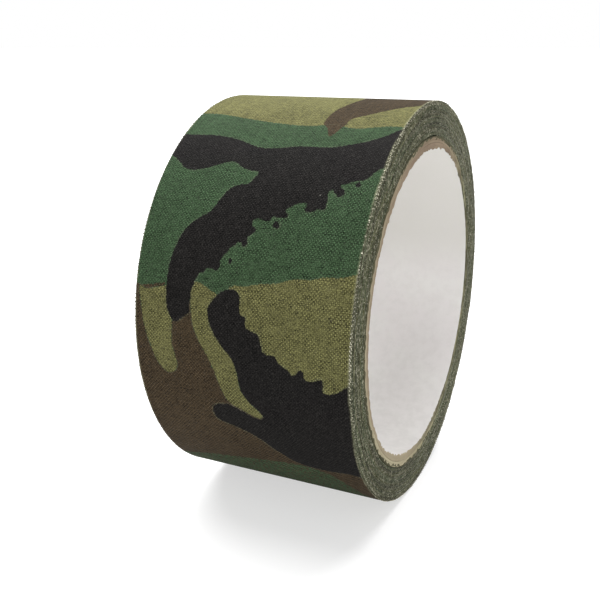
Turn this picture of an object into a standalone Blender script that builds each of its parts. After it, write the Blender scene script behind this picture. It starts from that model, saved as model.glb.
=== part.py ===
"""A roll of 2 inch cloth tape on a 3 inch paperboard core, standing on its rim.

The roll's axis runs along world +X, at the height of the roll's outer radius.
The tape is one strip wound in a spiral from the core outwards. Its last
quarter turn is the free end, cut into short lengths that hinge on each other
so that the end can be peeled off the roll.

Everything round is a regular polygon of FACETS sides whose flats lie at the
true radius, so the roll measures its real diameter and rests on a flat.
"""

import math

import bpy

# Driving dimensions, in metres
TAPE_WIDTH = 0.0508          # 2 in
BORE_RADIUS = 0.0381         # 3 in core
ROLL_RADIUS = 0.0486         # outside of the last turn
TAPE_PITCH = 0.000254        # thickness of one turn, 10 mil
TURN_CLEARANCE = 0.00003     # air and adhesive between turns
TAPE_THICKNESS = TAPE_PITCH - TURN_CLEARANCE

LINER_THICKNESS = 0.00016    # white paper inside the core
BOARD_THICKNESS = 0.00060    # each of the three board plies
WRAP_THICKNESS = 0.00018     # kraft paper round the core
GLUE_LINE = 0.00004          # between the core's plies
CORE_RADIUS = (
    BORE_RADIUS + LINER_THICKNESS + 3 * BOARD_THICKNESS + WRAP_THICKNESS + 4 * GLUE_LINE
)

FACETS = 32                  # sides of every round shape
STEP = 2 * math.pi / FACETS
TAIL_LENGTHS = 8             # hinged lengths of the free end, one facet each
TAIL_GAP = 0.00030           # slit between two of them
END_ANGLE = -1.5 * STEP      # where the tape's free end lies, from +Y towards +Z

# The spiral starts on the core and gains one pitch a turn.
FIRST_OUTER = CORE_RADIUS + TURN_CLEARANCE + TAPE_THICKNESS
ALL_STEPS = round((ROLL_RADIUS - FIRST_OUTER) / TAPE_PITCH * FACETS)
WOUND_STEPS = ALL_STEPS - TAIL_LENGTHS

# The last turn is still short of its full radius where the roll rests, so the
# axis stands a little lower than that radius.
STEPS_TO_BOTTOM = round((1.5 * math.pi - STEP / 2 - END_ANGLE) / STEP)
AXIS_HEIGHT = ROLL_RADIUS - TAPE_PITCH * STEPS_TO_BOTTOM / FACETS


def clear_scene():
    for ob in list(bpy.data.objects):
        bpy.data.objects.remove(ob, do_unlink=True)


def material(name, colour, roughness):
    mat = bpy.data.materials.new(name)
    mat.use_nodes = True
    shader = mat.node_tree.nodes["Principled BSDF"]
    shader.inputs["Base Color"].default_value = (*colour, 1.0)
    shader.inputs["Roughness"].default_value = roughness
    shader.inputs["Metallic"].default_value = 0.0
    mat.diffuse_color = (*colour, 1.0)
    return mat


def spiral_point(steps_from_end):
    """A corner of the tape's outer surface, counted back from its free end."""
    angle = END_ANGLE + steps_from_end * STEP
    radius = ROLL_RADIUS - TAPE_PITCH * steps_from_end / FACETS
    corner = radius / math.cos(STEP / 2)
    return (corner * math.cos(angle), corner * math.sin(angle))


def finished(name, source, mat, parent, location=(0.0, 0.0, 0.0), turned=0.0):
    """The named piece: the source's evaluated shape, smooth round its curves."""
    roll.objects.link(source)
    evaluated = source.evaluated_get(bpy.context.evaluated_depsgraph_get())
    mesh = bpy.data.meshes.new_from_object(evaluated)
    bpy.data.objects.remove(source, do_unlink=True)
    mesh.name = name
    mesh.materials.clear()
    mesh.materials.append(mat)
    mesh.shade_smooth()
    mesh.set_sharp_from_angle(angle=math.radians(35))
    ob = bpy.data.objects.new(name, mesh)
    ob.parent = parent
    ob.location = location
    ob.rotation_euler = (0.0, 0.0, turned)
    roll.objects.link(ob)
    return ob


def strip(name, points, mat, parent, location=(0.0, 0.0, 0.0)):
    """Tape: a flat path extruded to the tape's width, thickened inwards."""
    curve = bpy.data.curves.new(name, "CURVE")
    curve.dimensions = "2D"
    curve.fill_mode = "NONE"
    curve.extrude = TAPE_WIDTH / 2
    spline = curve.splines.new("POLY")
    spline.points.add(len(points) - 1)
    for point, (x, y) in zip(spline.points, points):
        point.co = (x, y, 0.0, 1.0)
    source = bpy.data.objects.new(name + "_path", curve)
    thick = source.modifiers.new("thickness", "SOLIDIFY")
    thick.thickness = TAPE_THICKNESS
    thick.offset = 1.0
    thick.use_even_offset = True
    thick.use_rim = True
    return finished(name, source, mat, parent, location)


def tube(name, inner, outer, mat, parent):
    """A ply of the core: its cross-section turned about the roll's axis."""
    flat = 1 / math.cos(STEP / 2)
    half = TAPE_WIDTH / 2
    profile = [
        (outer * flat, half),
        (outer * flat, -half),
        (inner * flat, -half),
        (inner * flat, half),
    ]
    mesh = bpy.data.meshes.new(name + "_profile")
    mesh.from_pydata(
        [(x, 0.0, z) for x, z in profile],
        [(i, (i + 1) % len(profile)) for i in range(len(profile))],
        [],
    )
    source = bpy.data.objects.new(name + "_profile", mesh)
    turn = source.modifiers.new("turn", "SCREW")
    turn.axis = "Z"
    turn.steps = FACETS
    turn.render_steps = FACETS
    turn.use_merge_vertices = True
    turn.merge_threshold = 0.00001
    return finished(name, source, mat, parent, turned=STEP / 2)


clear_scene()
roll = bpy.data.collections.new("tape_roll")
bpy.context.scene.collection.children.link(roll)

cloth = material("tape_cloth", (0.115, 0.120, 0.066), 0.72)
board = material("core_board", (0.355, 0.270, 0.170), 0.90)
wrap = material("core_wrap", (0.300, 0.205, 0.130), 0.88)
liner = material("core_liner", (0.680, 0.665, 0.640), 0.85)

# The axis stands above the surface that the roll rests on, its local Z along
# world +X.
axis = bpy.data.objects.new("roll_axis", None)
axis.location = (0.0, 0.0, AXIS_HEIGHT)
axis.rotation_euler = (math.pi / 2, 0.0, math.pi / 2)
axis.empty_display_size = 0.06
roll.objects.link(axis)

# The core, from the bore outwards
inner = BORE_RADIUS
tube("core_liner", inner, inner + LINER_THICKNESS, liner, axis)
inner += LINER_THICKNESS + GLUE_LINE
for number in range(1, 4):
    tube(f"core_board_{number}", inner, inner + BOARD_THICKNESS, board, axis)
    inner += BOARD_THICKNESS + GLUE_LINE
tube("core_wrap", inner, inner + WRAP_THICKNESS, wrap, axis)

# The wound tape, from the free end's root inwards to the core
strip(
    "tape_wound",
    [spiral_point(TAIL_LENGTHS + i) for i in range(WOUND_STEPS + 1)],
    cloth,
    axis,
)

# The free end: each length hangs on the hinge at the corner that it starts from
parent, before = axis, (0.0, 0.0)
for number in range(1, TAIL_LENGTHS + 1):
    hinge = spiral_point(TAIL_LENGTHS - number + 1)
    far = spiral_point(TAIL_LENGTHS - number)
    along = (far[0] - hinge[0], far[1] - hinge[1])
    length = math.hypot(*along)
    from_root = TAIL_GAP / 2 / length
    to_end = 1 - from_root if number < TAIL_LENGTHS else 1.0
    parent = strip(
        f"tape_tail_{number}",
        [(along[0] * t, along[1] * t) for t in (to_end, from_root)],
        cloth,
        parent,
        (hinge[0] - before[0], hinge[1] - before[1], 0.0),
    )
    before = hinge
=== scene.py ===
"""Looks of the cloth tape roll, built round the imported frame.

The tape is one strip wound in a spiral. Along it, turn is the angle back from
its free end; across it, x runs along the roll's axis. Its print, weave and cut
edges are laid out in those strip coordinates, so they move with the cloth when
the free end is peeled.
"""
import math

import bpy
import numpy as np
from mathutils import Matrix, Vector


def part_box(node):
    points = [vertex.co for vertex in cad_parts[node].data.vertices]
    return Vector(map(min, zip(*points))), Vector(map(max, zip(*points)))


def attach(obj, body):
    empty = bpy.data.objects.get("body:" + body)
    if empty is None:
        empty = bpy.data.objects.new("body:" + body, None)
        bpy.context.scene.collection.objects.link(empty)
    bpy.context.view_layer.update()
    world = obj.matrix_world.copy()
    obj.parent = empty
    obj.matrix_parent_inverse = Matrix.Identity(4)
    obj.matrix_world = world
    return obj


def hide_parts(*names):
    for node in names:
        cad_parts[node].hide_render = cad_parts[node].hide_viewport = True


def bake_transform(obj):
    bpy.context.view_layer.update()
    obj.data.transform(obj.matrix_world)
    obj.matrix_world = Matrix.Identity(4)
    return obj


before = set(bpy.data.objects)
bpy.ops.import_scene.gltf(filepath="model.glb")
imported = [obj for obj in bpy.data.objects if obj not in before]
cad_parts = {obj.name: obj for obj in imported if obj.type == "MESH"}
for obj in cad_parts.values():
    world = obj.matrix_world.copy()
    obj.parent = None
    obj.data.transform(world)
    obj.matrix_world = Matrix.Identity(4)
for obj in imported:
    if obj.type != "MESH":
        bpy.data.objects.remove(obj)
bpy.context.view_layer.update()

# ---------------------------------------------------------------- dimensions
# Millimetres here; every mesh is scaled to metres when it is made.
WIDTH = 50.8
HALF = WIDTH / 2
RADIUS = 48.6                     # outside of the last turn
PITCH = 0.254                     # one turn
THICK = 0.224                     # the strip itself
BORE = 38.1
LINER, BOARD, WRAP, GLUE = 0.16, 0.60, 0.18, 0.04
FACET = 2 * math.pi / 32
END_ANGLE = -1.5 * FACET          # the free end, from +Y towards +Z
TAIL_STEPS = 8
ROOT = TAIL_STEPS * FACET         # turn angle where the free end begins
CORE_RADIUS = BORE + LINER + 3 * BOARD + WRAP + 4 * GLUE
ALL_STEPS = round((RADIUS - (CORE_RADIUS + 0.03 + THICK)) / PITCH * 32)
ALL_TURN = ALL_STEPS * FACET
lo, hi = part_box("core_board_2")
AXIS_Z = (lo.z + hi.z) / 2 * 1000.0

DEG = math.pi / 180
MM_PER_DEG = RADIUS * DEG


def radius_at(turn):
    return RADIUS - PITCH * turn / (2 * math.pi)


def along_at(turn):
    """Length of tape back from its free end, in mm."""
    return turn * RADIUS - PITCH * turn * turn / (4 * math.pi)


LOOSE = 7.0 / RADIUS              # how much of the free end stands off the roll


def place(turn, x, depth):
    """A point of the strip: depth is below its outer face."""
    angle = END_ANGLE + turn
    off = np.clip(1 - turn / LOOSE, 0, 1.1)
    r = radius_at(turn) - depth + 0.55 * off * off
    return np.stack(
        [np.broadcast_to(x, r.shape), r * np.cos(angle), AXIS_Z + r * np.sin(angle)],
        axis=-1,
    )


# ------------------------------------------------------------ seeded noise
class Wander:
    """Smooth seeded noise along a line, about -1 to 1."""

    def __init__(self, seed, step):
        self.values = np.random.default_rng(seed).uniform(-1, 1, 4096)
        self.step = step

    def __call__(self, s):
        t = np.asarray(s, float) / self.step + 1000.0
        i = np.floor(t).astype(int)
        f = t - i
        f = f * f * (3 - 2 * f)
        return self.values[i % 4096] * (1 - f) + self.values[(i + 1) % 4096] * f


EDGE = {
    side: [(Wander(11 + k + 50 * (side > 0), step), amount) for k, (step, amount) in
           enumerate(((270.0, 0.055), (41.0, 0.035), (7.5, 0.035), (2.6, 0.040)))]
    for side in (-1, 1)
}


def edge_shift(side, turn):
    """How far the cut edge stands in or out of true, in mm."""
    s = along_at(turn)
    return sum(w(s) * amount for w, amount in EDGE[side])


# ------------------------------------------------------------ the print
# Outlines of the camouflage, as (x in mm, angle round the roll in degrees from
# the front), laid down in the order green ground, brown ground, khaki, brown
# branch, black.
KHAKI_TOP = [(-29.1, 68.7), (-25.4, 68.7), (-20.4, 68.7), (-15.4, 67.5), (-10.4, 66.3), (-5.4, 65.3), (-0.4, 64.6), (4.0, 64.4), (6.8, 65.0), (9.6, 65.8), (12.4, 64.6), (15.2, 64.1), (18.4, 64.9), (22.1, 65.8), (25.0, 65.9), (29.6, 66.3), (29.6, 101.2), (18.4, 104.1), (7.1, 105.6), (-1.6, 107.1), (-9.8, 105.6), (-19.1, 108.5), (-29.1, 107.1)]
BROWN_TOP = [(9.1, 87.9), (8.9, 83.5), (8.2, 79.3), (7.4, 76.1), (6.9, 72.8), (6.7, 70.2), (6.8, 65.8), (7.7, 64.9), (8.7, 63.1), (9.6, 60.7), (10.2, 60.1), (11.0, 61.6), (11.6, 64.0), (12.2, 66.5), (12.3, 68.3), (13.2, 69.7), (14.6, 70.9), (16.6, 72.8), (18.4, 74.6), (20.2, 76.5), (22.1, 78.3), (25.0, 80.5), (29.6, 83.7), (29.6, 104.1), (22.1, 107.1), (14.6, 105.6), (9.6, 101.2), (5.9, 104.1), (1.5, 108.5), (-1.6, 111.5), (-4.8, 110.9), (-1.0, 106.3), (2.7, 101.2), (5.9, 97.0), (8.0, 93.0)]
BLACK_TOP = [(-29.8, 57.5), (-25.4, 57.9), (-21.6, 58.1), (-16.0, 58.1), (-11.6, 57.2), (-8.5, 56.0), (-6.0, 54.8), (-2.9, 54.2), (0.9, 54.7), (4.6, 55.6), (9.6, 55.7), (12.1, 55.9), (15.9, 57.3), (19.6, 59.1), (22.7, 61.6), (25.0, 64.6), (29.6, 68.7), (29.6, 54.0), (25.0, 49.8), (24.0, 48.9), (23.2, 47.5), (22.2, 46.0), (20.2, 45.4), (18.7, 44.5), (17.2, 43.8), (18.5, 42.7), (18.7, 41.3), (17.7, 40.7), (16.6, 41.6), (15.9, 42.7), (15.2, 41.3), (15.6, 38.3), (15.4, 36.7), (14.1, 37.1), (12.9, 36.1), (11.2, 36.1), (11.5, 37.9), (10.5, 38.3), (9.0, 37.7), (7.9, 36.8), (7.0, 35.8), (8.1, 34.6), (7.2, 33.9), (4.6, 33.9), (4.0, 32.6), (1.5, 33.2), (0.4, 32.6), (0.5, 31.1), (1.7, 30.4), (1.2, 29.4), (0.7, 28.8), (0.1, 28.2), (0.1, 27.4), (0.3, 26.6), (-0.0, 25.8), (-0.5, 25.5), (-1.0, 26.4), (-1.7, 26.9), (-2.3, 26.3), (-2.8, 25.4), (-3.4, 25.0), (-3.9, 23.8), (-4.5, 23.3), (-5.0, 22.1), (-5.4, 21.5), (-5.0, 20.7), (-5.3, 19.5), (-6.1, 19.0), (-6.7, 19.6), (-7.4, 19.2), (-8.2, 19.4), (-8.9, 18.3), (-9.8, 17.8), (-10.3, 16.6), (-10.8, 15.7), (-11.0, 14.4), (-11.4, 12.9), (-11.3, 11.4), (-11.6, 9.9), (-11.5, 8.2), (-12.1, 7.2), (-13.2, 6.2), (-14.4, 5.1), (-15.3, 4.8), (-16.2, 5.9), (-17.0, 7.8), (-17.4, 9.8), (-17.5, 12.1), (-17.6, 15.6), (-17.5, 18.8), (-17.1, 22.2), (-16.3, 25.2), (-15.4, 28.0), (-14.1, 30.2), (-12.0, 32.3), (-10.4, 33.7), (-9.5, 35.1), (-8.5, 38.0), (-7.3, 40.5), (-5.4, 41.9), (-3.5, 42.4), (-2.6, 43.9), (-1.9, 46.1), (-4.1, 46.4), (-6.6, 47.3), (-8.5, 48.8), (-10.4, 48.6), (-12.9, 47.3), (-15.4, 46.0), (-18.2, 45.3), (-20.4, 45.7), (-22.9, 48.1), (-25.4, 49.8), (-29.8, 51.0)]
BLACK_SPOTS = [[(5.0, 32.0), (5.7, 32.9), (6.7, 32.3), (6.5, 31.2), (5.4, 31.1)], [(20.4, 44.5), (21.2, 45.0), (21.9, 44.5), (21.5, 43.8), (20.7, 43.8)], [(14.6, 40.4), (15.4, 40.7), (15.5, 39.2), (14.9, 38.9)], [(-3.4, 22.1), (-2.8, 22.7), (-2.4, 21.8), (-3.0, 20.9)]]
KHAKI_RIGHT = [(-2.1, 15.6), (1.5, 16.2), (4.6, 17.1), (8.4, 17.8), (12.1, 19.3), (15.9, 19.7), (18.4, 20.6), (22.1, 21.0), (25.0, 22.1), (29.6, 23.0), (29.6, -14.5), (19.6, -11.5), (9.6, -5.6), (2.7, 0.3), (-0.4, 6.2), (-1.6, 12.1)]
KHAKI_FINGER_1 = [(-24.5, 12.9), (-23.9, 8.5), (-23.0, 2.6), (-21.6, -2.7), (-20.4, -6.4), (-19.1, -8.6), (-17.6, -9.8), (-16.0, -9.0), (-15.1, -7.3), (-15.1, -5.4), (-15.6, -3.4), (-16.0, -1.2), (-15.9, 2.0), (-15.8, 4.7), (-16.0, 7.6), (-16.5, 10.6), (-16.8, 13.8), (-18.5, 13.5), (-20.4, 12.9), (-22.6, 12.3)]
KHAKI_FINGER_2 = [(-11.5, 15.3), (-11.5, 12.9), (-11.3, 9.8), (-10.7, 5.4), (-9.8, 2.5), (-8.5, -0.5), (-7.0, -3.4), (-5.7, -7.1), (-4.8, -10.8), (-4.0, -13.8), (-2.6, -16.0), (-0.4, -17.2), (2.1, -18.6), (4.0, -19.2), (4.7, -18.2), (4.0, -16.7), (2.4, -14.9), (1.2, -13.0), (0.4, -11.3), (-0.0, -8.6), (-0.1, -6.4), (-0.5, -4.2), (-0.6, 0.3), (-1.6, 6.2), (-3.5, 10.6), (-5.1, 13.2), (-7.3, 14.4), (-9.0, 15.4), (-10.4, 15.7)]
BLACK_LOW = [(-5.1, 12.8), (-3.8, 14.3), (-1.6, 15.0), (-0.4, 14.6), (0.4, 13.2), (0.5, 10.9), (0.8, 9.2), (2.1, 8.7), (2.0, 7.0), (2.5, 5.9), (4.0, 5.3), (5.0, 5.0), (5.6, 3.6), (6.1, 1.1), (7.1, -0.0), (8.4, 0.3), (9.3, -0.2), (9.8, -1.5), (10.9, -2.3), (12.1, -3.0), (12.9, -4.2), (14.0, -3.4), (14.6, -2.4), (15.5, -2.7), (15.6, -4.5), (17.1, -4.9), (18.4, -4.2), (19.6, -3.9), (19.7, -7.1), (21.2, -7.3), (22.7, -6.7), (25.0, -4.6), (29.6, -1.5), (29.6, -34.9), (25.0, -35.6), (22.1, -35.3), (19.6, -35.9), (17.1, -36.3), (14.6, -36.3), (12.1, -36.2), (10.2, -35.4), (8.7, -34.4), (7.1, -32.5), (5.2, -30.7), (3.0, -27.8), (0.9, -26.0), (-1.3, -24.8), (-3.5, -23.9), (-5.7, -23.1), (-7.0, -22.5), (-7.7, -21.1), (-7.8, -19.5), (-7.3, -18.0), (-6.2, -17.0), (-4.8, -16.6), (-3.2, -16.3), (-1.3, -17.2), (0.2, -18.0), (2.1, -19.1), (3.9, -19.5), (4.9, -18.3), (4.0, -16.6), (2.4, -14.9), (1.2, -13.0), (0.4, -11.3), (-0.0, -8.6), (-0.1, -6.4), (-0.5, -4.6), (-1.3, -2.4), (-2.9, -0.5), (-4.5, 1.7), (-6.0, 4.4), (-6.8, 6.9), (-7.1, 9.1), (-6.3, 11.2)]
BROWN_LOW = [(-29.1, 13.8), (-25.4, 13.2), (-21.6, 13.5), (-17.6, 14.4), (-14.8, 12.1), (-11.3, 14.7), (-6.6, 6.2), (-0.4, -8.6), (5.9, -18.9), (13.4, -29.2), (18.4, -33.7), (25.0, -34.6), (29.6, -34.6), (29.6, -72.0), (26.0, -66.0), (23.4, -55.0), (20.9, -44.6), (17.6, -38.7), (14.0, -36.9), (11.0, -36.3), (8.0, -36.6), (3.5, -37.6), (-1.1, -38.8), (-7.0, -40.6), (-13.7, -42.7), (-18.0, -44.6), (-22.5, -47.2), (-25.6, -48.4), (-29.6, -50.0)]
# the hidden side's own shapes
BLACK_TWIG = [(-29, 119.5), (-22, 118.6), (-16, 116.2), (-9, 115.8), (-3, 117.4), (3, 116.2), (8, 113.4), (13, 112.6), (18, 114.2), (23, 113.0), (29, 113.6), (29, 117.8), (24, 117.2), (19, 119.0), (14, 117.8), (10, 118.9), (6, 121.6), (2, 122.8), (0, 126.4), (-2, 127.2), (-3, 123.6), (-7, 120.4), (-12, 121.2), (-17, 121.6), (-21, 124.0), (-25, 124.8), (-29, 123.6)]
BROWN_BACK = [(3, 158), (8, 154), (13, 155), (17, 159), (22, 158), (26, 153), (30, 150), (30, 168), (25, 172), (19, 171), (15, 175), (16, 181), (12, 186), (8, 183), (9, 176), (6, 170), (2, 165)]
KHAKI_BACK = [(-30, 178), (-24, 176), (-17, 179), (-12, 184), (-6, 186), (0, 191), (6, 193), (12, 199), (30, 202), (30, 215), (-30, 215)]
BROWN_UNDER = [(-30, -62.5), (-22, -63.5), (-15, -66.5), (-9, -65.5), (-3, -67.5), (2, -70.5), (6, -71.5), (9, -69.2), (6, -73.5), (0, -74.5), (-8, -72.2), (-16, -73.4), (-22, -70.2), (-30, -71.0)]

BROWN_HAZE = [(-29.8, -44), (-15, -40), (0, -37), (12, -35), (26, -38), (29.8, -60), (15, -62), (-5, -64), (-29.8, -62)]


def rounded(points, parts=4):
    """A closed Catmull-Rom curve through the points, in mm on the cloth."""
    p = np.array(points, float)
    p[:, 1] *= MM_PER_DEG
    a, b, c, d = np.roll(p, 1, 0), p, np.roll(p, -1, 0), np.roll(p, -2, 0)
    out = []
    for t in np.arange(parts) / parts:
        out.append(
            0.5 * (2 * b + (c - a) * t + (2 * a - 5 * b + 4 * c - d) * t * t
                   + (3 * b - a - 3 * c + d) * t ** 3)
        )
    return np.stack(out, 1).reshape(-1, 2)


GRID = 0.4
LOW_DEG, HIGH_DEG = -262.0, 206.0
GX = np.arange(-27.2, 27.21, GRID)
GY = np.arange(LOW_DEG * MM_PER_DEG, HIGH_DEG * MM_PER_DEG, GRID)
FAR = -3.0


def inside_distance(outline):
    """Distance into the outline over the whole print grid, negative outside."""
    field = np.full((len(GY), len(GX)), FAR)
    x0, y0 = outline.min(0) + FAR
    x1, y1 = outline.max(0) - FAR
    cols = np.nonzero((GX >= x0) & (GX <= x1))[0]
    rows = np.nonzero((GY >= y0) & (GY <= y1))[0]
    if not len(cols) or not len(rows):
        return field
    X, Y = np.meshgrid(GX[cols], GY[rows])
    q = np.stack([X.ravel(), Y.ravel()], 1)
    a, b = outline, np.roll(outline, -1, 0)
    best = np.full(len(q), 1e9)
    winding = np.zeros(len(q), bool)
    for (ax, ay), (bx, by) in zip(a, b):
        dx, dy = bx - ax, by - ay
        size = dx * dx + dy * dy
        if size < 1e-12:
            continue
        t = np.clip(((q[:, 0] - ax) * dx + (q[:, 1] - ay) * dy) / size, 0, 1)
        d = (q[:, 0] - ax - t * dx) ** 2 + (q[:, 1] - ay - t * dy) ** 2
        best = np.minimum(best, d)
        if ay != by:
            crossing = (ay > q[:, 1]) != (by > q[:, 1])
            at = ax + (q[:, 1] - ay) / (by - ay) * dx
            winding ^= crossing & (q[:, 0] < at)
    signed = np.where(winding, 1.0, -1.0) * np.sqrt(best)
    field[np.ix_(rows, cols)] = np.clip(signed, FAR, -FAR).reshape(X.shape)
    return field


def moved(points, flip_x, sign, shift):
    return [(-x if flip_x else x, sign * y + shift) for x, y in points]


def union(fields):
    out = fields[0]
    for f in fields[1:]:
        out = np.maximum(out, f)
    return out


def group(flip_x=False, sign=1, shift=0.0):
    """The front's print, as it repeats further along the tape."""
    get = lambda points: inside_distance(rounded(moved(points, flip_x, sign, shift)))
    low = union([get(KHAKI_RIGHT), get(KHAKI_FINGER_1), get(KHAKI_FINGER_2)])
    khaki = union([get(KHAKI_TOP), low])
    brown = union([get(BROWN_TOP), np.minimum(get(BROWN_LOW), -low)])
    black = union([get(BLACK_TOP), get(BLACK_LOW)] + [get(s) for s in BLACK_SPOTS])
    return khaki, brown, black


groups = [group(), group(True, -1, 232.0), group(True, 1, -168.0), group(False, 1, -322.0)]
extra = lambda points: inside_distance(rounded(points))
khaki_back = extra(KHAKI_BACK)
KHAKI_FIELD = union([g[0] for g in groups] + [khaki_back])
BROWN_FIELD = union([g[1] for g in groups] + [extra(BROWN_BACK), extra(BROWN_UNDER), np.minimum(extra(BROWN_HAZE), -0.03)])
BLACK_FIELD = union([g[2] for g in groups] + [extra(BLACK_TWIG)])


def print_at(field, turn, x):
    """The field at a place on the strip."""
    front = 180.0 - (END_ANGLE + turn) / DEG       # degrees up from the front
    gx = np.clip((x - GX[0]) / GRID, 0, len(GX) - 1.001)
    gy = np.clip((front * MM_PER_DEG - GY[0]) / GRID, 0, len(GY) - 1.001)
    i, j = gy.astype(int), gx.astype(int)
    fy, fx = gy - i, gx - j
    return (
        field[i, j] * (1 - fy) * (1 - fx) + field[i, j + 1] * (1 - fy) * fx
        + field[i + 1, j] * fy * (1 - fx) + field[i + 1, j + 1] * fy * fx
    )


# ------------------------------------------------------------ mesh making
def make(name, points, faces, materials, slots=None, uv=None, values=None, sharp=38):
    """A mesh object from millimetre points; uv and values are one per point."""
    mesh = bpy.data.meshes.new(name)
    mesh.from_pydata((np.asarray(points) * 0.001).tolist(), [], [list(f) for f in faces])
    for m in materials:
        mesh.materials.append(m)
    if slots is not None:
        mesh.polygons.foreach_set("material_index", np.asarray(slots, np.int32))
    loops = np.empty(len(mesh.loops), np.int32)
    mesh.loops.foreach_get("vertex_index", loops)
    if uv is not None:
        layer = mesh.uv_layers.new(name="tape")
        layer.data.foreach_set("uv", np.asarray(uv, np.float32)[loops].ravel())
    for key, value in (values or {}).items():
        attribute = mesh.attributes.new(key, "FLOAT", "POINT")
        attribute.data.foreach_set("value", np.asarray(value, np.float32))
    mesh.update()
    mesh.shade_smooth()
    mesh.set_sharp_from_angle(angle=math.radians(sharp))
    ob = bpy.data.objects.new(name, mesh)
    bpy.context.scene.collection.objects.link(ob)
    return ob


class Parts:
    """Several shapes gathered into one mesh."""

    def __init__(self):
        self.points, self.faces, self.slots, self.uv = [], [], [], []
        self.values = {}
        self.count = 0

    def add(self, points, faces, slots, uv, values):
        n = len(points)
        self.points.append(points)
        self.faces += [[i + self.count for i in f] for f in faces]
        self.slots += list(slots)
        self.uv.append(uv)
        for key in set(self.values) | set(values):
            self.values.setdefault(key, [])
        for key in self.values:
            self.values[key].append(np.broadcast_to(values.get(key, 0.0), (n,)))
        self.count += n

    def make(self, name, materials, **options):
        return make(
            name, np.concatenate(self.points), self.faces, materials, self.slots,
            np.concatenate(self.uv),
            {k: np.concatenate(v) for k, v in self.values.items()}, **options,
        )


FACE, CUT, GUM = 0, 1, 2       # material slots of a tape piece
CHAMFER = 0.045


def section(across, under):
    """The strip's cross-section, as (x, depth, slot of the side that follows)."""
    loop = [(x, 0.0, FACE) for x in np.linspace(-HALF + CHAMFER, HALF - CHAMFER, across)]
    loop[-1] = (loop[-1][0], 0.0, CUT)
    loop += [(HALF, CHAMFER * 0.8, CUT), (HALF, THICK - 0.02, CUT)]
    loop += [(x, THICK, GUM) for x in np.linspace(HALF - 0.02, -HALF + 0.02, under)]
    loop[-1] = (loop[-1][0], THICK, CUT)
    loop += [(-HALF, THICK - 0.02, CUT), (-HALF, CHAMFER * 0.8, CUT)]
    return np.array([(x, d) for x, d, _ in loop]), [s for *_, s in loop]


def strip(parts, start, end, count, across, under, ends=(CUT, CUT)):
    """A length of the tape between two turn angles, closed at both ends."""
    loop, sides = section(across, under)
    n = len(loop)
    turn = np.repeat(np.linspace(start, end, count), n)
    x = np.tile(loop[:, 0], count)
    depth = np.tile(loop[:, 1], count)
    near = np.clip((np.abs(x) - (HALF - 2.4)) / 2.4, 0, 1) ** 3
    shift = np.where(x > 0, edge_shift(1, turn), edge_shift(-1, turn)) * near
    points = place(turn, x + shift, depth)
    faces, slots = [], []
    for i in range(count - 1):
        for k in range(n):
            a, b = i * n + k, i * n + (k + 1) % n
            faces.append((a, a + n, b + n, b))
            slots.append(sides[k])
    last = (count - 1) * n
    faces += [tuple(range(n)), tuple(range(last, last + n))[::-1]]
    slots += list(ends)
    s = along_at(turn)
    values = {
        "p_khaki": print_at(KHAKI_FIELD, turn, x),
        "p_brown": print_at(BROWN_FIELD, turn, x),
        "p_black": print_at(BLACK_FIELD, turn, x),
        "lay": turn / (2 * math.pi),
        "bare": np.zeros(len(x)),
    }
    parts.add(points, faces, slots, np.stack([s, x], 1) * 0.01, values)


def inner_print(turn, side):
    """Which print colour shows at the edge of a turn under the last one."""
    s = along_at(turn)
    w1, w2, w3 = (Wander(900 + k + 10 * (side > 0), 17.0 + 3 * k)(s) for k in range(3))
    return {"p_khaki": w1 * 2.0 - 0.25, "p_brown": w2 * 2.0 - 0.7, "p_black": w3 * 2.0 - 0.75}


def wound_strip(parts, start, end, count):
    """The turns below the last one, whose edges make the two end faces."""
    c = 0.05
    loop = np.array([
        (-HALF + c, 0.0), (HALF - c, 0.0), (HALF, c), (HALF, THICK - c),
        (HALF - c, THICK), (-HALF + c, THICK), (-HALF, THICK - c), (-HALF, c),
    ])
    sides = [FACE, CUT, CUT, CUT, GUM, CUT, CUT, CUT]
    n = len(loop)
    turn = np.repeat(np.linspace(start, end, count), n)
    x, depth = np.tile(loop[:, 0], count), np.tile(loop[:, 1], count)
    shift = np.where(x > 0, edge_shift(1, turn), edge_shift(-1, turn))
    points = place(turn, x + shift, depth)
    faces, slots = [], []
    for i in range(count - 1):
        for k in range(n):
            a, b = i * n + k, i * n + (k + 1) % n
            faces.append((a, a + n, b + n, b))
            slots.append(sides[k])
    last = (count - 1) * n
    faces += [tuple(range(n)), tuple(range(last, last + n))[::-1]]
    slots += [CUT, CUT]
    right, left = inner_print(turn, 1), inner_print(turn, -1)
    values = {k: np.where(x > 0, right[k], left[k]) for k in right}
    values["lay"] = turn / (2 * math.pi)
    values["bare"] = np.zeros(len(x))
    parts.add(points, faces, slots, np.stack([along_at(turn), x], 1) * 0.01, values)


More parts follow.
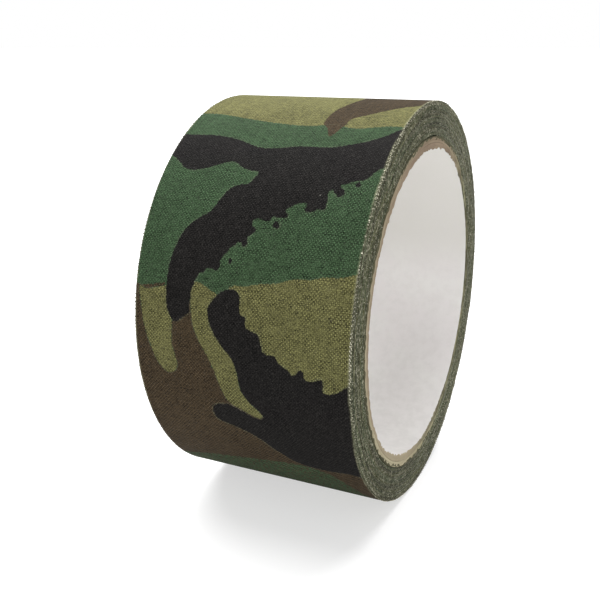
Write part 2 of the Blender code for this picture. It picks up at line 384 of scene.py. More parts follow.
def yarn_ends(parts, turn, side, length, size, rise, bare, seed, ring=6):
    """Cut ends of the cross yarns standing out of one edge of the tape."""
    rng = np.random.default_rng(seed)
    m = len(turn)
    if not m:
        return
    phi = np.arange(ring) * 2 * math.pi / ring
    base = side * (HALF + edge_shift(side, turn) - 0.06)
    tilt_s, tilt_r = rng.normal(0, 0.25, m), rng.normal(0, 0.12, m)
    rings = []
    steps = ((0.0, 1.0), (0.62, 0.92), (1.0, 0.45)) if ring > 4 else ((0.0, 1.0), (1.0, 0.75))
    for t, w in steps:
        out = (0.06 + length) * t
        s_off = tilt_s * out * t + np.zeros(m)
        d_off = tilt_r * out * t
        x = (base + side * out)[:, None] + np.zeros((m, ring))
        ds = s_off[:, None] + np.cos(phi)[None] * size[:, None] * w
        dd = d_off[:, None] + np.sin(phi)[None] * size[:, None] * w * 0.62
        t_here = turn[:, None] + ds / RADIUS
        depth = THICK * rise[:, None] + dd
        p = place(t_here.ravel(), x.ravel(), depth.ravel())
        rings.append(p.reshape(m, ring, 3))
    points = np.stack(rings, 1).reshape(-1, 3)
    per = len(steps) * ring
    template = []
    for k in range(len(steps) - 1):
        for j in range(ring):
            a, b = k * ring + j, k * ring + (j + 1) % ring
            template.append((a, b, b + ring, a + ring))
    caps = [tuple(range(ring))[::-1], tuple(range(per - ring, per))]
    if side < 0:
        template = [f[::-1] for f in template]
        caps = [f[::-1] for f in caps]
    faces = [tuple(i + q * per for i in f) for q in range(m) for f in template + caps]
    slots = [CUT] * len(faces)
    s = np.repeat(along_at(turn), per)
    x_uv = np.full(m * per, side * HALF)
    near = {
        "p_khaki": print_at(KHAKI_FIELD, turn, np.full(m, side * 25.0)),
        "p_brown": print_at(BROWN_FIELD, turn, np.full(m, side * 25.0)),
        "p_black": print_at(BLACK_FIELD, turn, np.full(m, side * 25.0)),
    }
    values = {k: np.repeat(v, per) for k, v in near.items()}
    values["lay"] = np.repeat(turn / (2 * math.pi), per)
    values["bare"] = np.repeat(bare, per)
    parts.add(points, faces, slots, np.stack([s, x_uv], 1) * 0.01, values)


WEFT, WARP = 0.42, 0.40         # yarn spacings along and across the tape


def edge_yarns(parts, start, end, seed, keep=0.88, longest=0.26, bright=1.0, ring=6):
    """A row of yarn ends down both edges of a length of the tape."""
    rng = np.random.default_rng(seed)
    for side in (-1, 1):
        first, last = along_at(start), along_at(end)
        pitch = 2 * WEFT
        s = np.arange(math.ceil(first / pitch) * pitch, last - 0.1, pitch)
        s = s + rng.normal(0, 0.05, len(s))
        extra = rng.uniform(first, last, int((last - first) * 0.5))
        m = len(s)
        s = np.concatenate([s, extra])
        big = np.arange(len(s)) < m
        ok = (s > first + 0.15) & (s < last - 0.1) & (rng.random(len(s)) < keep)
        s, big = s[ok], big[ok]
        turn = s / (RADIUS - PITCH * 0.25)
        for _ in range(3):
            turn = turn + (s - along_at(turn)) / RADIUS
        m = len(s)
        cluster = 0.62 + 0.75 * Wander(seed % 7 + 60 + side, 9.0)(s)
        if side > 0:        # paler yarn ends near the top of this rim
            cluster += 0.8 * np.exp(-(((turn / DEG - 132 + 180) % 360 - 180) / 17) ** 2)
        cluster = np.clip(cluster, 0.12, 1.25)
        length = np.where(big, 0.08 + 0.12 * rng.random(m), 0.02 + longest * rng.random(m) ** 3)
        size = np.where(big, rng.uniform(0.10, 0.17, m), rng.uniform(0.06, 0.11, m))
        bare = np.where(big, rng.normal(1.35, 0.35, m), rng.normal(0.50, 0.35, m)) * cluster * bright
        rise = np.where(big, rng.uniform(0.10, 0.45, m), rng.uniform(0.30, 0.62, m))
        yarn_ends(parts, turn, side, length, size, rise, np.clip(bare, 0, 1.6), seed + 5 + side, ring)


def end_fringe(parts, seed):
    """Warp yarns standing out of the torn free end."""
    rng = np.random.default_rng(seed)
    x = np.arange(-HALF + 0.3, HALF - 0.25, WARP) + rng.normal(0, 0.04, int((2 * HALF - 0.55) / WARP) + 1)
    x = x[rng.random(len(x)) < 0.9]
    m, ring = len(x), 6
    phi = np.arange(ring) * 2 * math.pi / ring
    length = 0.10 + 0.28 * rng.random(m) ** 1.5 + 0.9 * rng.random(m) ** 9
    lean, lift = rng.normal(0, 0.25, m), rng.uniform(-0.10, 0.22, m)
    size = rng.uniform(0.10, 0.15, m)
    rings = []
    for t, w in ((-0.2, 1.0), (0.55, 0.9), (1.0, 0.5)):
        out = length * t
        xx = (x + lean * out)[:, None] + np.cos(phi)[None] * (size * w)[:, None]
        depth = (THICK * 0.45 - lift * out * max(t, 0))[:, None] + np.sin(phi)[None] * (size * w)[:, None] * 0.55
        turn = np.repeat(-out / RADIUS, ring)
        rings.append(place(turn, xx.ravel(), depth.ravel()).reshape(m, ring, 3))
    points = np.stack(rings, 1).reshape(-1, 3)
    per = 3 * ring
    template = []
    for k in range(2):
        for j in range(ring):
            a, b = k * ring + j, k * ring + (j + 1) % ring
            template.append((a, b, b + ring, a + ring))
    caps = [tuple(range(ring))[::-1], tuple(range(2 * ring, 3 * ring))]
    faces = [tuple(i + q * per for i in f) for q in range(m) for f in template + caps]
    zero = np.zeros(m)
    near = {
        "p_khaki": print_at(KHAKI_FIELD, zero, x), "p_brown": print_at(BROWN_FIELD, zero, x),
        "p_black": print_at(BLACK_FIELD, zero, x), "bare": np.clip(rng.normal(0.7, 0.4, m), 0, 1.4),
    }
    values = {k: np.repeat(v, per) for k, v in near.items()}
    uv = np.stack([np.repeat(-length, per), np.repeat(x, per)], 1) * 0.01
    parts.add(points, faces, [CUT] * len(faces), uv, values)


# ------------------------------------------------------------ materials
class Nodes:
    """Short names for the shader nodes used here."""

    def __init__(self, name):
        self.mat = bpy.data.materials.new(name)
        self.mat.use_nodes = True
        self.tree = self.mat.node_tree
        self.shader = self.tree.nodes["Principled BSDF"]

    def new(self, kind, **settings):
        node = self.tree.nodes.new(kind)
        for key, value in settings.items():
            setattr(node, key, value)
        return node

    def put(self, socket, value):
        if isinstance(value, bpy.types.NodeSocket):
            self.tree.links.new(value, socket)
        elif value is not None:
            socket.default_value = value

    def math(self, op, a, b=None, c=None, clamp=False):
        node = self.new("ShaderNodeMath", operation=op, use_clamp=clamp)
        for socket, value in zip(node.inputs, (a, b, c)):
            self.put(socket, value)
        return node.outputs[0]

    def mix(self, factor, a, b, blend="MIX"):
        node = self.new("ShaderNodeMix", data_type="RGBA", blend_type=blend)
        self.put(node.inputs[0], factor)
        self.put(node.inputs[6], a)
        self.put(node.inputs[7], b)
        return node.outputs[2]

    def span(self, value, low, high, to_low=0.0, to_high=1.0, smooth=True):
        node = self.new("ShaderNodeMapRange", interpolation_type="SMOOTHSTEP" if smooth else "LINEAR")
        for socket, v in zip(node.inputs, (value, low, high, to_low, to_high)):
            self.put(socket, v)
        return node.outputs[0]

    def attribute(self, name):
        return self.new("ShaderNodeAttribute", attribute_name=name).outputs["Fac"]

    def noise(self, vector, scale, detail=2.0, roughness=0.5, distortion=0.0):
        node = self.new("ShaderNodeTexNoise", noise_dimensions="3D")
        self.put(node.inputs["Vector"], vector)
        node.inputs["Scale"].default_value = scale
        node.inputs["Detail"].default_value = detail
        node.inputs["Roughness"].default_value = roughness
        node.inputs["Distortion"].default_value = distortion
        return node.outputs["Fac"]

    def voronoi(self, vector, scale, feature="F1", output="Distance", randomness=1.0):
        node = self.new("ShaderNodeTexVoronoi", feature=feature)
        self.put(node.inputs["Vector"], vector)
        node.inputs["Scale"].default_value = scale
        node.inputs["Randomness"].default_value = randomness
        return node.outputs[output]

    def vector(self, x, y, z=0.0):
        node = self.new("ShaderNodeCombineXYZ")
        for socket, value in zip(node.inputs, (x, y, z)):
            self.put(socket, value)
        return node.outputs[0]

    def strip_place(self):
        """Length and width along the tape, in mm."""
        node = self.new("ShaderNodeUVMap", uv_map="tape")
        split = self.new("ShaderNodeSeparateXYZ")
        self.put(split.inputs[0], node.outputs[0])
        return self.math("MULTIPLY", split.outputs[0], 100.0), self.math("MULTIPLY", split.outputs[1], 100.0)

    def bump(self, height, strength, distance, normal=None):
        node = self.new("ShaderNodeBump")
        self.put(node.inputs["Height"], height)
        node.inputs["Strength"].default_value = strength
        node.inputs["Distance"].default_value = distance
        if normal is not None:
            self.put(node.inputs["Normal"], normal)
        return node.outputs[0]

    def finish(self, colour, roughness, normal=None, **constant):
        s = self.shader.inputs
        self.put(s["Base Color"], colour)
        self.put(s["Roughness"], roughness)
        if normal is not None:
            self.put(s["Normal"], normal)
        for key, value in constant.items():
            s[key.replace("_", " ")].default_value = value
        return self.mat


GREEN = (0.0392, 0.0712, 0.0342, 1)
KHAKI = (0.1260, 0.1220, 0.0480, 1)
BROWN = (0.0515, 0.0364, 0.0204, 1)
BLACK = (0.0115, 0.0106, 0.0101, 1)
COTTON = (0.540, 0.515, 0.385, 1)


def print_colour(n, u, v, soft=0.10, ragged=0.55):
    """The four printed colours, with the slightly ragged edges of screen print."""
    at = n.vector(u, v)
    wander = n.math("SUBTRACT", n.noise(at, 1.5, 4.0, 0.7), 0.5)
    wander = n.math("MULTIPLY", wander, ragged * 2)
    layers, gaps = [], []
    for name in ("p_khaki", "p_brown", "p_black"):
        d = n.math("ADD", n.attribute(name), wander)
        layers.append(n.span(d, -soft, soft))
        gaps.append(n.span(n.math("ABSOLUTE", n.math("ADD", d, 0.15)), 0.20, 0.04))
    colour = n.mix(layers[0], GREEN, KHAKI)
    colour = n.mix(layers[1], colour, BROWN)
    if soft < 0.3:
        # thin pale lines where the dark prints don't quite meet the ground
        thin = n.span(n.noise(n.vector(u, v, 50.0), 0.35, 3.0, 0.6), 0.35, 0.65, 0.02, 0.30)
        gap = n.math("MAXIMUM", gaps[2], n.math("MULTIPLY", gaps[0], 0.6))
        colour = n.mix(n.math("MULTIPLY", gap, thin), colour, (0.150, 0.168, 0.112, 1))
    return n.mix(layers[2], colour, BLACK), layers


def weave(n, u, v):
    """Plain weave: which yarn is on top, the gaps, and the diagonal it draws."""
    pu = n.math("MULTIPLY", u, math.pi / WEFT)
    pv = n.math("MULTIPLY", v, math.pi / WARP)
    # yarns wander a little, as woven cotton does
    drift_u = n.math("MULTIPLY", n.math("SUBTRACT", n.noise(n.vector(u, v), 0.30, 4.0, 0.65), 0.5), 5.0)
    drift_v = n.math("MULTIPLY", n.math("SUBTRACT", n.noise(n.vector(v, u, 7.0), 0.30, 4.0, 0.65), 0.5), 3.6)
    pu, pv = n.math("ADD", pu, drift_u), n.math("ADD", pv, drift_v)
    su, sv = n.math("SINE", pu), n.math("SINE", pv)
    checker = n.math("MULTIPLY", su, sv)
    cross = n.math("MULTIPLY", n.math("ABSOLUTE", su), n.math("ABSOLUTE", sv))
    diagonal = n.math("SINE", n.math("ADD", pu, pv))
    return checker, cross, diagonal


def cloth_material():
    n = Nodes("printed_cloth")
    u, v = n.strip_place()
    colour, layers = print_colour(n, u, v)
    checker, cross, diagonal = weave(n, u, v)
    # slubs: thick and thin yarns along and across
    along = n.noise(n.vector(n.math("MULTIPLY", u, 0.20), n.math("MULTIPLY", v, 2.4)), 1.0, 3.0, 0.6)
    across = n.noise(n.vector(n.math("MULTIPLY", u, 2.2), n.math("MULTIPLY", v, 0.18), 3.0), 1.0, 3.0, 0.6)
    slub = n.math("ADD", along, across)
    fine = n.noise(n.vector(u, v, 1.7), 3.3, 2.0, 0.7)
    patch = n.noise(n.vector(u, v, 9.0), 0.09, 4.0, 0.6)
    strength = n.span(n.noise(n.vector(u, v, 31.0), 0.30, 3.0, 0.6), 0.35, 0.65, 0.60, 1.35)
    # the weave's contrast fades towards the top of the roll
    height_z = n.new("ShaderNodeSeparateXYZ")
    n.put(height_z.inputs[0], n.new("ShaderNodeTexCoord").outputs["Object"])
    faint = n.span(height_z.outputs[2], 0.0800, 0.0930)
    strength = n.math("MULTIPLY", strength, n.math("MULTIPLY_ADD", faint, -0.60, 1.0))
    pattern = n.math("MULTIPLY_ADD", diagonal, 0.10, n.math("MULTIPLY", checker, 0.52))
    pattern = n.math("MULTIPLY_ADD", n.math("SUBTRACT", cross, 0.405), 0.85, pattern)
    # value of the dyed cloth, brighter on the yarns' crowns, dark in the gaps
    gain = n.math("MULTIPLY_ADD", pattern, strength, 1.0)
    gain = n.math("MULTIPLY_ADD", n.math("SUBTRACT", slub, 1.0), 0.95, gain)
    gain = n.math("MULTIPLY_ADD", n.math("SUBTRACT", fine, 0.5), 2.2, gain)
    gain = n.math("MULTIPLY_ADD", n.math("SUBTRACT", patch, 0.5), 0.50, gain)
    thread = n.math("SUBTRACT", n.noise(n.vector(n.math("MULTIPLY", u, 2.4), n.math("MULTIPLY", v, 0.55), 15.0), 1.0, 2.0, 0.6), 0.5)
    gain = n.math("MULTIPLY_ADD", thread, 1.3, gain)
    # the green ground is a little plainer than the prints on it
    printed = n.math("MAXIMUM", layers[0], n.math("MAXIMUM", layers[1], layers[2]))
    amount = n.math("MULTIPLY_ADD", printed, 0.10, 0.90)
    gain = n.math("MULTIPLY_ADD", n.math("SUBTRACT", gain, 1.0), amount, 1.0)
    # painted light: towards the top of the roll the cloth is painted paler, and the brown a little darker
    top_painted_light = n.math("MULTIPLY_ADD", layers[1], -0.24, 0.11)
    gain = n.math("MULTIPLY_ADD", n.span(height_z.outputs[2], 0.0932, 0.0960), top_painted_light, gain)
    gain = n.math("MAXIMUM", gain, 0.10)
    shaded = n.new("ShaderNodeVectorMath", operation="SCALE")
    n.put(shaded.inputs[0], colour)
    n.put(shaded.inputs["Scale"], gain)
    colour = shaded.outputs[0]
    # grey fibre through the dye, which shows most in the dark prints
    fibre = n.span(n.noise(n.vector(u, v, 12.0), 2.2, 2.0, 0.7), 0.50, 0.78)
    colour = n.mix(n.math("MULTIPLY", fibre, 0.17), colour, (0.116, 0.109, 0.098, 1))
    # the rim, where the cut has pulled undyed fibre up
    rim = n.span(n.math("ABSOLUTE", v), HALF - 0.50, HALF - 0.08)
    rim = n.math("MULTIPLY", rim, n.span(n.noise(n.vector(u, v, 40.0), 0.11, 3.0, 0.6), 0.40, 0.62, 0.15, 1.0))
    rim = n.math("MULTIPLY", rim, n.span(n.noise(n.vector(u, v, 44.0), 1.5, 2.0, 0.6), 0.36, 0.60, 0.25, 1.0))
    colour = n.mix(n.math("MULTIPLY", rim, 0.62), colour, (0.33, 0.33, 0.21, 1))
    # undyed fibre showing at a few crowns, and lint
    speck = n.span(n.noise(n.vector(u, v, 21.0), 2.3, 2.0, 0.65), 0.66, 0.80)
    speck = n.math("MULTIPLY", speck, 0.20)
    colour = n.mix(speck, colour, (0.23, 0.235, 0.19, 1))
    lint = n.span(n.voronoi(n.vector(u, v, 2.0), 0.23), 0.045, 0.022)
    lint = n.math("MULTIPLY", lint, n.span(n.noise(n.vector(u, v, 4.0), 0.05), 0.52, 0.60))
    colour = n.mix(n.math("MULTIPLY", lint, 0.6), colour, (0.30, 0.295, 0.26, 1))
    height = n.math("MULTIPLY_ADD", checker, 0.45, n.math("MULTIPLY", cross, 0.9))
    height = n.math("MULTIPLY_ADD", fine, 1.3, height)
    height = n.math("MULTIPLY_ADD", slub, 0.55, height)
    rough = n.span(fine, 0.3, 0.7, 0.78, 0.93)
    normal = n.bump(height, 0.9, 0.00009)
    return n.finish(
        colour, rough, normal,
        Specular_IOR_Level=0.06, Sheen_Weight=0.01, Sheen_Roughness=0.5,
    )


def cut_material():
    """The cut edges: cotton yarn ends, stained by the print and by adhesive."""
    n = Nodes("cut_cloth_edge")
    u, v = n.strip_place()
    lay = n.attribute("lay")
    colour, layers = print_colour(n, u, v, 0.5, 0.5)
    grey = n.mix(0.66, colour, (0.086, 0.094, 0.050, 1))
    coord = n.new("ShaderNodeTexCoord").outputs["Object"]
    mm = n.new("ShaderNodeVectorMath", operation="SCALE")
    n.put(mm.inputs[0], coord)
    mm.inputs["Scale"].default_value = 1000.0
    at = mm.outputs[0]
    ends = n.math("MULTIPLY_ADD", n.math("SINE", n.math("MULTIPLY", u, math.pi / WEFT)), 0.5, 0.5)
    dots = n.noise(n.vector(n.math("MULTIPLY", u, 1.25), n.math("MULTIPLY", lay, 31.0)), 1.0, 2.0, 0.6)
    streak = n.noise(n.vector(n.math("MULTIPLY", u, 0.5), n.math("MULTIPLY", lay, 13.0), 5.0), 1.0, 3.0, 0.65)
    grain = n.noise(at, 1.45, 2.0, 0.65)
    clump = n.noise(at, 0.42, 3.0, 0.6)
    bands = n.noise(n.vector(n.math("MULTIPLY", u, 0.05), n.math("MULTIPLY", lay, 0.55), 9.0), 1.0, 3.0, 0.6)
    raw = n.math("MULTIPLY", n.span(dots, 0.48, 0.72), n.math("MULTIPLY_ADD", ends, 0.4, 0.6))
    raw = n.math("MULTIPLY_ADD", n.span(grain, 0.51, 0.70), 1.0, n.math("MULTIPLY", raw, 0.65))
    raw = n.math("MULTIPLY_ADD", n.span(streak, 0.58, 0.80), 0.25, raw)
    raw = n.math("MULTIPLY", raw, n.span(clump, 0.32, 0.66, 0.40, 1.1))
    raw = n.math("MULTIPLY_ADD", n.span(bands, 0.45, 0.75), 0.10, raw)
    layer = n.noise(n.vector(n.math("MULTIPLY", u, 0.035), n.math("MULTIPLY", lay, 4.3), 17.0), 1.0, 2.0, 0.5)
    grey_scale = n.new("ShaderNodeVectorMath", operation="SCALE")
    n.put(grey_scale.inputs[0], grey)
    n.put(grey_scale.inputs["Scale"], n.span(layer, 0.30, 0.70, 0.50, 1.55))
    grey = grey_scale.outputs[0]
    raw = n.math("MULTIPLY_ADD", n.span(layer, 0.50, 0.72), 0.16, raw)
    raw = n.math("MAXIMUM", raw, n.attribute("bare"))
    raw = n.math("MINIMUM", n.math("MAXIMUM", n.math("MULTIPLY_ADD", raw, 0.66, -0.05), 0.0), 0.9)
    colour = n.mix(raw, grey, COTTON)
    colour = n.mix(n.span(n.attribute("bare"), 0.90, 1.55, 0.0, 0.75), colour, (0.80, 0.77, 0.61, 1))
    dark = n.math("MULTIPLY", n.span(grain, 0.50, 0.30), n.span(clump, 0.72, 0.40, 0.3, 1.0))
    colour = n.mix(n.math("MULTIPLY", dark, 0.84), colour, (0.012, 0.014, 0.007, 1))
    height = n.math("MULTIPLY_ADD", grain, 2.5, n.math("ADD", ends, dots))
    return n.finish(colour, 0.9, n.bump(height, 0.9, 0.00012), Specular_IOR_Level=0.15, Sheen_Weight=0.03)


def gum_material():
    """The rubber adhesive on the inner side, which the weave shows through."""
    n = Nodes("rubber_adhesive")
    u, v = n.strip_place()
    checker, cross, diagonal = weave(n, u, v)
    blot = n.noise(n.vector(u, v), 0.35, 4.0, 0.6)
    colour = n.mix(n.span(blot, 0.3, 0.7), (0.42, 0.40, 0.33, 1), (0.50, 0.485, 0.42, 1))
    colour = n.mix(n.math("MULTIPLY", n.span(cross, 0.5, 0.0), 0.35), colour, (0.27, 0.27, 0.21, 1))
    rough = n.span(blot, 0.3, 0.7, 0.28, 0.42)
    height = n.math("ADD", checker, n.math("MULTIPLY", blot, 0.6))
    return n.finish(colour, rough, n.bump(height, 0.3, 0.00005), Specular_IOR_Level=0.5)


def board_material(name, light, dark, seed):
    """Grey-brown board: layered fibres along the cut, flecks, and a soft fuzz."""
    n = Nodes(name)
    coord = n.new("ShaderNodeTexCoord").outputs["Object"]
    mm = n.new("ShaderNodeVectorMath", operation="SCALE")
    n.put(mm.inputs[0], coord)
    mm.inputs["Scale"].default_value = 1000.0
    shifted = n.new("ShaderNodeVectorMath", operation="ADD")
    n.put(shifted.inputs[0], mm.outputs[0])
    shifted.inputs[1].default_value = (seed * 7.1, seed * 3.3, seed * 5.7)
    at = shifted.outputs[0]
    u, v = n.strip_place()
    plies = n.noise(n.vector(n.math("MULTIPLY", u, 0.05), n.math("MULTIPLY", v, 9.0), seed), 1.0, 3.0, 0.6)
    fibre = n.noise(at, 1.8, 4.0, 0.7)
    broad = n.noise(at, 0.11, 3.0, 0.5)
    fleck = n.span(n.noise(at, 3.4, 1.0), 0.66, 0.74)
    t = n.math("MULTIPLY_ADD", plies, 0.9, n.math("MULTIPLY", fibre, 0.5))
    t = n.math("MULTIPLY_ADD", broad, 0.5, t)
    colour = n.mix(n.span(t, 0.6, 1.25), dark, light)
    # paler where the cut is clean, stained where lint and gum have rubbed in
    colour = n.mix(n.attribute("pale"), colour, (0.50, 0.45, 0.30, 1))
    stain = n.math("MULTIPLY", n.attribute("stain"), n.span(fibre, 0.25, 0.60, 0.75, 1.0))
    olive = n.mix(n.span(n.noise(at, 0.22, 2.0, 0.5), 0.46, 0.60), (0.062, 0.066, 0.032, 1), (0.250, 0.245, 0.145, 1))
    colour = n.mix(stain, colour, olive)
    colour = n.mix(n.math("MULTIPLY", fleck, 0.4), colour, (0.10, 0.075, 0.045, 1))
    height = n.math("ADD", plies, n.math("MULTIPLY", fibre, 1.2))
    return n.finish(colour, 0.92, n.bump(height, 0.6, 0.00008), Specular_IOR_Level=0.2)


def liner_material():
    """White paper, a little mottled where the board's plies show through, with painted shade high and low on the wall.
    """
    n = Nodes("white_liner_paper")
    coord = n.new("ShaderNodeTexCoord").outputs["Object"]
    mm = n.new("ShaderNodeVectorMath", operation="SCALE")
    n.put(mm.inputs[0], coord)
    mm.inputs["Scale"].default_value = 1000.0
    at = mm.outputs[0]
    cloud = n.noise(at, 0.10, 3.0, 0.55)
    blot = n.noise(at, 0.42, 4.0, 0.6)
    grain = n.noise(at, 3.0, 3.0, 0.65)
    warm = n.mix(n.span(cloud, 0.35, 0.65), (0.788, 0.758, 0.753, 1), (0.802, 0.787, 0.769, 1))
    upper = n.new("ShaderNodeSeparateXYZ")
    n.put(upper.inputs[0], at)
    # painted shade: the paper is darker high up on the wall
    warm = n.mix(n.span(upper.outputs[2], 42.0, 60.0), warm, (0.676, 0.662, 0.627, 1))
    colour = n.mix(n.math("MULTIPLY", n.span(blot, 0.42, 0.68), 0.30), warm, (0.690, 0.668, 0.650, 1))
    colour = n.mix(n.math("MULTIPLY", n.span(grain, 0.62, 0.78), 0.18), colour, (0.55, 0.52, 0.475, 1))
    # painted shade: the paper is darker towards the bottom of the bore
    low = n.span(upper.outputs[2], 40.0, 10.0, smooth=False)
    low_painted_shade = n.math("MULTIPLY", n.math("POWER", low, 2.0), 0.85)
    low_painted_shade = n.math("MULTIPLY", low_painted_shade, n.span(blot, 0.3, 0.7, 0.88, 1.12))
    colour = n.mix(low_painted_shade, colour, (0.545, 0.530, 0.516, 1))
    height = n.math("MULTIPLY_ADD", grain, 0.5, blot)
    return n.finish(colour, 0.78, n.bump(height, 0.30, 0.00012), Specular_IOR_Level=0.30)


cloth, cut, gum = cloth_material(), cut_material(), gum_material()
TAPE = [cloth, cut, gum]
boards = [
    board_material("core_board_inner", (0.275, 0.205, 0.142, 1), (0.185, 0.134, 0.090, 1), 1.0),
    board_material("core_board_middle", (0.290, 0.220, 0.150, 1), (0.195, 0.145, 0.095, 1), 2.0),
    board_material("core_board_outer", (0.300, 0.235, 0.155, 1), (0.200, 0.152, 0.098, 1), 3.0),
]
wrap = board_material("core_wrap_kraft", (0.105, 0.100, 0.055, 1), (0.050, 0.050, 0.028, 1), 4.0)
liner = liner_material()


# ------------------------------------------------------------ the core
def knife_lip(angle):
    """Where the cut pushed the board over the bore: most above and below."""
    near = lambda centre, width: np.exp(-(((angle / DEG - centre + 180) % 360 - 180) / width) ** 2)
    return 1 - 0.97 * near(0, 66) + 2.1 * near(102, 30) + 3.2 * near(252, 19)


def tube(name, node, inner, outer, material, jitter, seed, ends=3, across=6,
         rough_wall=0.0, set_back=0.0, burr=0.0, teeth=0.30, pale_ends=0.0, stained=0.0, fine=330, proud=0.0,
         shape=lambda angle: 1.0):
    """A ply of the core, with a slightly uneven cut edge.

    set_back leaves the ply short of the end by a torn edge; burr is the lip that
    the cutting knife pushes inwards.
    """
    c = min(0.05, (outer - inner) * 0.3)
    inner_x = np.linspace(HALF - 1.0, -HALF + 1.0, across)
    inner_x = np.concatenate([[HALF - c, HALF - 0.22, HALF - 0.5], inner_x, [-HALF + 0.5, -HALF + 0.22, -HALF + c]])
    loop, group_of = [], []
    for x in (-HALF + c, -HALF + 1.0, HALF - 1.0, HALF - c):
        loop.append((x, outer)); group_of.append(0)
    for r in np.linspace(outer - c, inner + c, ends):
        loop.append((HALF, r)); group_of.append(1)
    for x in inner_x:
        loop.append((x, inner)); group_of.append(2)
    for r in np.linspace(inner + c, outer - c, ends):
        loop.append((-HALF, r)); group_of.append(-1)
    loop, group_of = np.array(loop), np.array(group_of)
    n, around = len(loop), 720
    angle = np.arange(around) * 2 * math.pi / around
    rng = np.random.default_rng(seed)

    def ring_noise(steps):
        v = rng.uniform(-1, 1, steps)
        t = angle / (2 * math.pi) * steps
        i = t.astype(int)
        f = t - i
        f = f * f * (3 - 2 * f)
        return v[i % steps] * (1 - f) + v[(i + 1) % steps] * f

    points = np.zeros((around, n, 3))
    side = {e: ring_noise(70) * 0.6 + ring_noise(320) * 0.6 for e in (1, -1)}
    clean = 1 - 0.9 * np.clip(1.4 * np.cos(angle), 0, 1)
    back = {
        e: set_back * clean * (0.45 + 0.30 * ring_noise(31) + 0.35 * np.abs(ring_noise(90)) + 0.25 * np.abs(ring_noise(360)))
        for e in (1, -1)
    }
    lip = {
        e: burr * np.clip(0.55 * shape(angle) + np.clip(shape(angle), 0, 1.25) * (
            0.35 * ring_noise(26) + 0.25 * ring_noise(90) + teeth * ring_noise(fine)), 0.03, 3.0)
        for e in (1, -1)
    }
    wall = [ring_noise(24) for _ in range(n)]
    for k in range(n):
        x, r = loop[k]
        g = group_of[k]
        edge = 1 if x > 0 else -1
        depth = HALF - abs(x)
        near = float(np.clip(1 - depth / 1.0, 0, 1))
        dx = jitter * side[edge] * near - edge * back[edge] * near
        if g in (1, -1):
            dx = dx + rng.uniform(-0.5, 0.5, around) * jitter * 0.5 + edge * proud
        dr = np.zeros(around)
        if g == 2 and rough_wall:
            dr = dr + rough_wall * wall[k] * (1 - near)
        if r < inner + 0.6 * c and depth < 0.3:
            dr = dr - lip[edge]
        elif g in (1, -1):
            dr = dr - lip[edge] * 0.8 * np.clip(1 - (r - inner) / 0.45, 0, 1)
        rr = r + dr
        points[:, k, 0] = x + dx
        points[:, k, 1] = rr * np.cos(angle)
        points[:, k, 2] = AXIS_Z + rr * np.sin(angle)
    faces = []
    for i in range(around):
        j = (i + 1) % around
        for k in range(n):
            m = (k + 1) % n
            faces.append((i * n + k, j * n + k, j * n + m, i * n + m))
    uv = np.zeros((around, n, 2))
    uv[:, :, 0] = (angle * (inner + outer) / 2)[:, None]
    uv[:, :, 1] = loop[:, 1][None]
    low = np.clip(-np.sin(angle), 0, 1)
    back_side = np.clip(1.5 * np.cos(angle + 0.26) - 0.05, 0, 1)
    tone = {
        "pale": pale_ends * np.clip(
            low ** 2 + 0.55 * np.clip(-np.cos(angle), 0, 1) ** 1.5 + 0.20 * ring_noise(40), 0, 1),
        "stain": stained * np.clip(back_side * (1.0 + 0.3 * ring_noise(60)), 0, 1),
    }
    tone = {key: np.repeat(value, n) for key, value in tone.items()}
    tone["stain"] = tone["stain"] * np.tile(loop[:, 0] > 0, around)
    ob = make(name, points.reshape(-1, 3), faces, [material], uv=uv.reshape(-1, 2) * 0.01, values=tone)
    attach(ob, "roll")
    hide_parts(node)
    return ob


r = BORE
tube("liner_paper", "core_liner", r, r + LINER, liner, 0.03, 31, ends=2, across=24, rough_wall=0.02, set_back=0.7, pale_ends=1.0)
r += LINER + GLUE
for k in range(3):
    tube(
        f"board_ply_{k + 1}", f"core_board_{k + 1}", r, r + BOARD, boards[k], 0.045, 41 + k,
        ends=6, burr=0.42 if k == 0 else 0.0, teeth=0.55, pale_ends=(0.55, 0.95, 1.0)[k], stained=1.0,
        shape=knife_lip,
    )
    r += BOARD + GLUE
tube(
    "kraft_wrap", "core_wrap", r, r + WRAP, wrap, 0.06, 51, ends=3,
    burr=0.72, teeth=0.75, stained=1.0, fine=260, proud=0.07,
)


# ------------------------------------------------------------ the tape
under_tail = 2 * math.pi + ROOT
wound = Parts()
strip(wound, ROOT, under_tail, 641, 98, 8)
edge_yarns(wound, ROOT, under_tail, 600)
last_turn = wound.make("tape_last_turn", TAPE)
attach(last_turn, "roll")
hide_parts("tape_wound")

below = Parts()
wound_strip(below, under_tail, ALL_TURN, int((ALL_TURN - under_tail) / (1.05 * DEG)) + 1)
inner_turns = below.make("tape_inner_turns", TAPE)

fuzz = Parts()
edge_yarns(fuzz, under_tail, under_tail + 5.5 * math.pi, 650, keep=0.80, bright=0.92, ring=4)
rng = np.random.default_rng(4321)
for side in (-1, 1):
    m = 4200
    turn = rng.uniform(under_tail + 5.0 * math.pi, ALL_TURN - 0.1, m)
    yarn_ends(
        fuzz, turn, side, 0.03 + 0.16 * rng.random(m) ** 2.2, rng.uniform(0.08, 0.15, m),
        rng.uniform(0.35, 0.65, m), np.clip(rng.normal(0.55, 0.45, m), 0, 1.3), 4400 + side, ring=4,
    )
yarns = fuzz.make("tape_edge_yarns", TAPE)
for ob in (inner_turns, yarns):
    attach(ob, "roll")
    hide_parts("tape_wound")

# The free end: each piece runs from the middle of one hinged length to the middle of the next.
bodies = ["roll"] + [f"tail_{k}" for k in range(1, TAIL_STEPS + 1)]


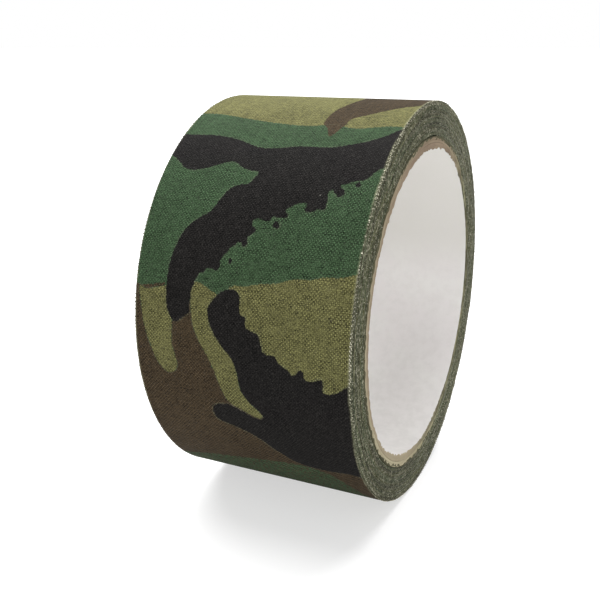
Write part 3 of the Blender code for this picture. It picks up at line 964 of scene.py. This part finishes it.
for k in range(1, TAIL_STEPS + 1):
    hinge = (TAIL_STEPS - k + 1) * FACET
    start = hinge if k == 1 else hinge + FACET / 2
    end = hinge - FACET / 2
    piece = Parts()
    strip(piece, end, start, 11 if k == 1 else 20, 98, 26)
    edge_yarns(piece, end, start, 700 + 10 * k)
    ob = piece.make(f"tape_free_end_{k}", TAPE)
    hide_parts(f"tape_tail_{k}")
    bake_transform(ob)

tip = Parts()
strip(tip, 0.0, FACET / 2, 15, 98, 26)
edge_yarns(tip, 0.0, FACET / 2, 790)
end_fringe(tip, 795)
ob = tip.make("tape_free_end_tip", TAPE)
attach(ob, bodies[-1])
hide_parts(f"tape_tail_{TAIL_STEPS}")


# ------------------------------------------------------------ stage
floor_mesh = bpy.data.meshes.new("floor")
floor_mesh.from_pydata([(-40, -40, 0), (40, -40, 0), (40, 40, 0), (-40, 40, 0)], [], [(0, 1, 2, 3)])
floor = bpy.data.objects.new("floor", floor_mesh)
bpy.context.scene.collection.objects.link(floor)
pale = Nodes("pale_floor")
floor_mesh.materials.append(pale.finish(
    (0.50, 0.50, 0.50, 1), 0.9, Specular_IOR_Level=0.1, Emission_Color=(1, 1, 1, 1), Emission_Strength=0.25,
))
# an overexposed floor: paler to the eye than the light it throws back
tree = floor_mesh.materials[0].node_tree
lit = next(x for x in tree.nodes if x.type == "BSDF_PRINCIPLED")
output = next(x for x in tree.nodes if x.type == "OUTPUT_MATERIAL")
glow = tree.nodes.new("ShaderNodeEmission")
glow.inputs[1].default_value = 0.33
both = tree.nodes.new("ShaderNodeAddShader")
ray = tree.nodes.new("ShaderNodeLightPath")
either = tree.nodes.new("ShaderNodeMixShader")
tree.links.new(lit.outputs[0], both.inputs[0])
tree.links.new(glow.outputs[0], both.inputs[1])
tree.links.new(ray.outputs["Is Camera Ray"], either.inputs[0])
tree.links.new(lit.outputs[0], either.inputs[1])
tree.links.new(both.outputs[0], either.inputs[2])
tree.links.new(either.outputs[0], output.inputs[0])

# an even white surround, which lights the roll less than it shows behind it
world = bpy.data.worlds.new("studio")
bpy.context.scene.world = world
world.use_nodes = True
tree = world.node_tree
surround = tree.nodes["Background"]
surround.inputs[0].default_value = (1.0, 1.0, 1.0, 1)
surround.inputs[1].default_value = 0.44
seen = tree.nodes.new("ShaderNodeBackground")
seen.inputs[0].default_value = (1.0, 1.0, 1.0, 1)
seen.inputs[1].default_value = 1.0
ray = tree.nodes.new("ShaderNodeLightPath")
either = tree.nodes.new("ShaderNodeMixShader")
tree.links.new(ray.outputs["Is Camera Ray"], either.inputs[0])
tree.links.new(surround.outputs[0], either.inputs[1])
tree.links.new(seen.outputs[0], either.inputs[2])
tree.links.new(either.outputs[0], tree.nodes["World Output"].inputs[0])

def soft_sun(name, come_from, strength, angle):
    light = bpy.data.lights.new(name, "SUN")
    light.energy = strength * math.pi
    light.angle = angle * DEG
    ob = bpy.data.objects.new(name, light)
    ob.rotation_mode = "QUATERNION"
    ob.rotation_quaternion = (-Vector(come_from)).to_track_quat("-Z", "Y")
    ob.location = come_from
    bpy.context.scene.collection.objects.link(ob)


soft_sun("top_light", (-0.30, 0.34, 1.0), 1.80, 70)
soft_sun("front_fill", (0.66, -0.66, 0.30), 0.26, 75)

# the viewing angle: 25.5 degrees round to the right, 17 degrees above
a, e = 25.52 * DEG, 17.0 * DEG
back = Vector((math.sin(a) * math.cos(e), -math.cos(a) * math.cos(e), math.sin(e)))
right = Vector((math.cos(a), math.sin(a), 0.0))
up = back.cross(right)
camera = bpy.data.objects.new("camera", bpy.data.cameras.new("camera"))
bpy.context.scene.collection.objects.link(camera)
camera.location = (
    Vector((0, 0, AXIS_Z * 0.001)) + back * 0.2159 + right * -0.00757 + up * -0.00234
)
camera.rotation_mode = "QUATERNION"
camera.rotation_quaternion = Matrix((right, up, back)).transposed().to_quaternion()
camera.data.sensor_width = 36.0
camera.data.lens = 837.1 / 600 * 36.0
camera.data.clip_start, camera.data.clip_end = 0.01, 20
bpy.context.scene.camera = camera
bpy.context.scene.view_settings.view_transform = "Standard"
